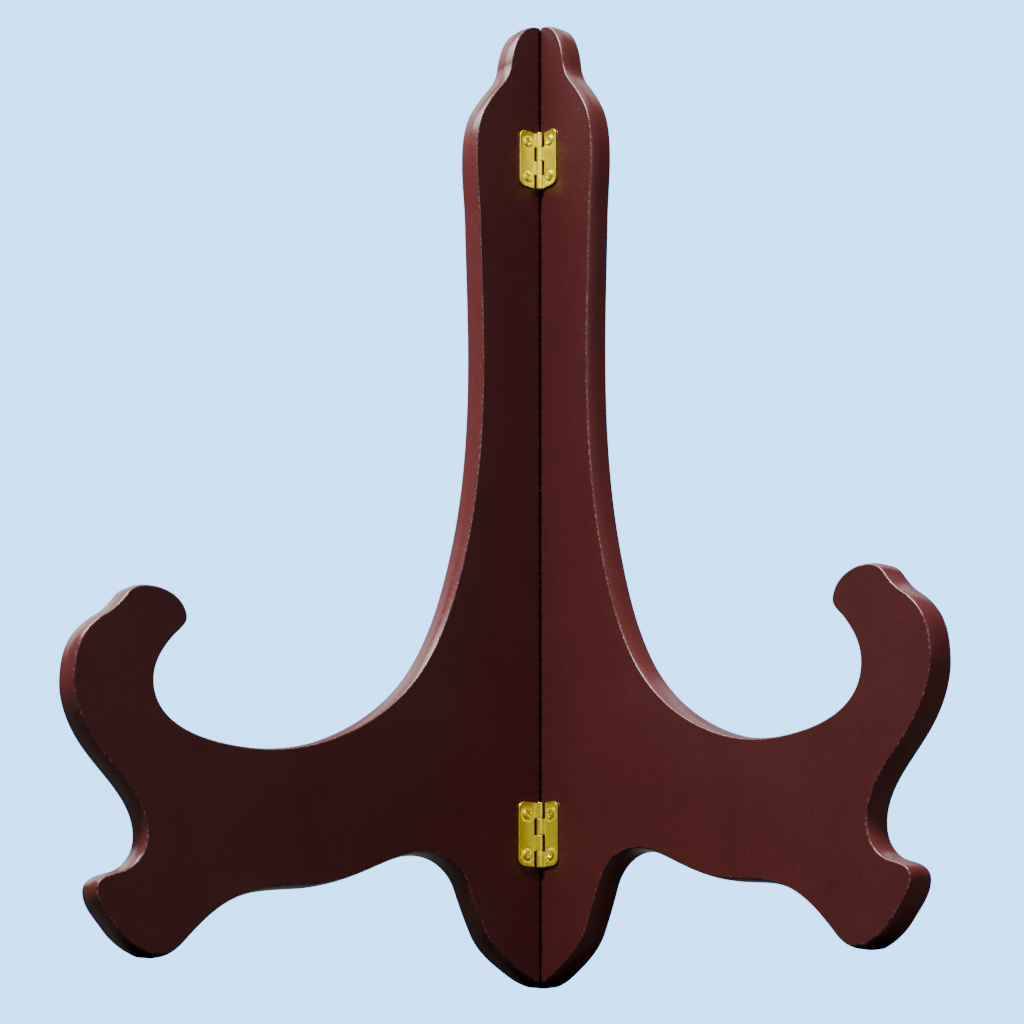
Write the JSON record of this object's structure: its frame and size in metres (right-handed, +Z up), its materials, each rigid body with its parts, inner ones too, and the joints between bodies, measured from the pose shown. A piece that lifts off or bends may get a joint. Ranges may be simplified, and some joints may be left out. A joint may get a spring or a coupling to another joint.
{
  "type": "plate display stand",
  "caption": "Folding wooden stand for a displayed plate: mirrored scrolled profile boards with front hooks, joined along their back edge by small brass butt hinges.",
  "frame": {"origin": "bottom centre of the bounding box, on the surface the stand rests on", "axes": "+Z up along the hinge axis; -Y to the front, where the hooks are; +X to the stand's right half as seen from the front; YZ is the plane between the two halves"},
  "size_m": [0.191, 0.0966, 0.25],
  "materials": {
    "mahogany_lacquer": "dark red-brown satin lacquer",
    "yellow_brass": "bright pressed sheet"
  },
  "bodies": {
    "left_half": {"left_panel": "mahogany_lacquer", "upper_hinge_left_leaf": "yellow_brass", "upper_hinge_left_top_screw": "yellow_brass", "upper_hinge_left_bottom_screw": "yellow_brass", "lower_hinge_left_leaf": "yellow_brass", "lower_hinge_left_top_screw": "yellow_brass", "lower_hinge_left_bottom_screw": "yellow_brass", "upper_hinge_pin": "yellow_brass", "lower_hinge_pin": "yellow_brass"},
    "right_half": {"right_panel": "mahogany_lacquer", "upper_hinge_right_leaf": "yellow_brass", "upper_hinge_right_top_screw": "yellow_brass", "upper_hinge_right_bottom_screw": "yellow_brass", "lower_hinge_right_leaf": "yellow_brass", "lower_hinge_right_top_screw": "yellow_brass", "lower_hinge_right_bottom_screw": "yellow_brass"}
  },
  "joints": [
    {"name": "fold", "type": "hinge", "parent": "left_half", "child": "right_half", "pos_m": [0, 0.03825, 0.125], "axis": [0, 0, 1], "range_deg": [-92, 0]}
  ]
}
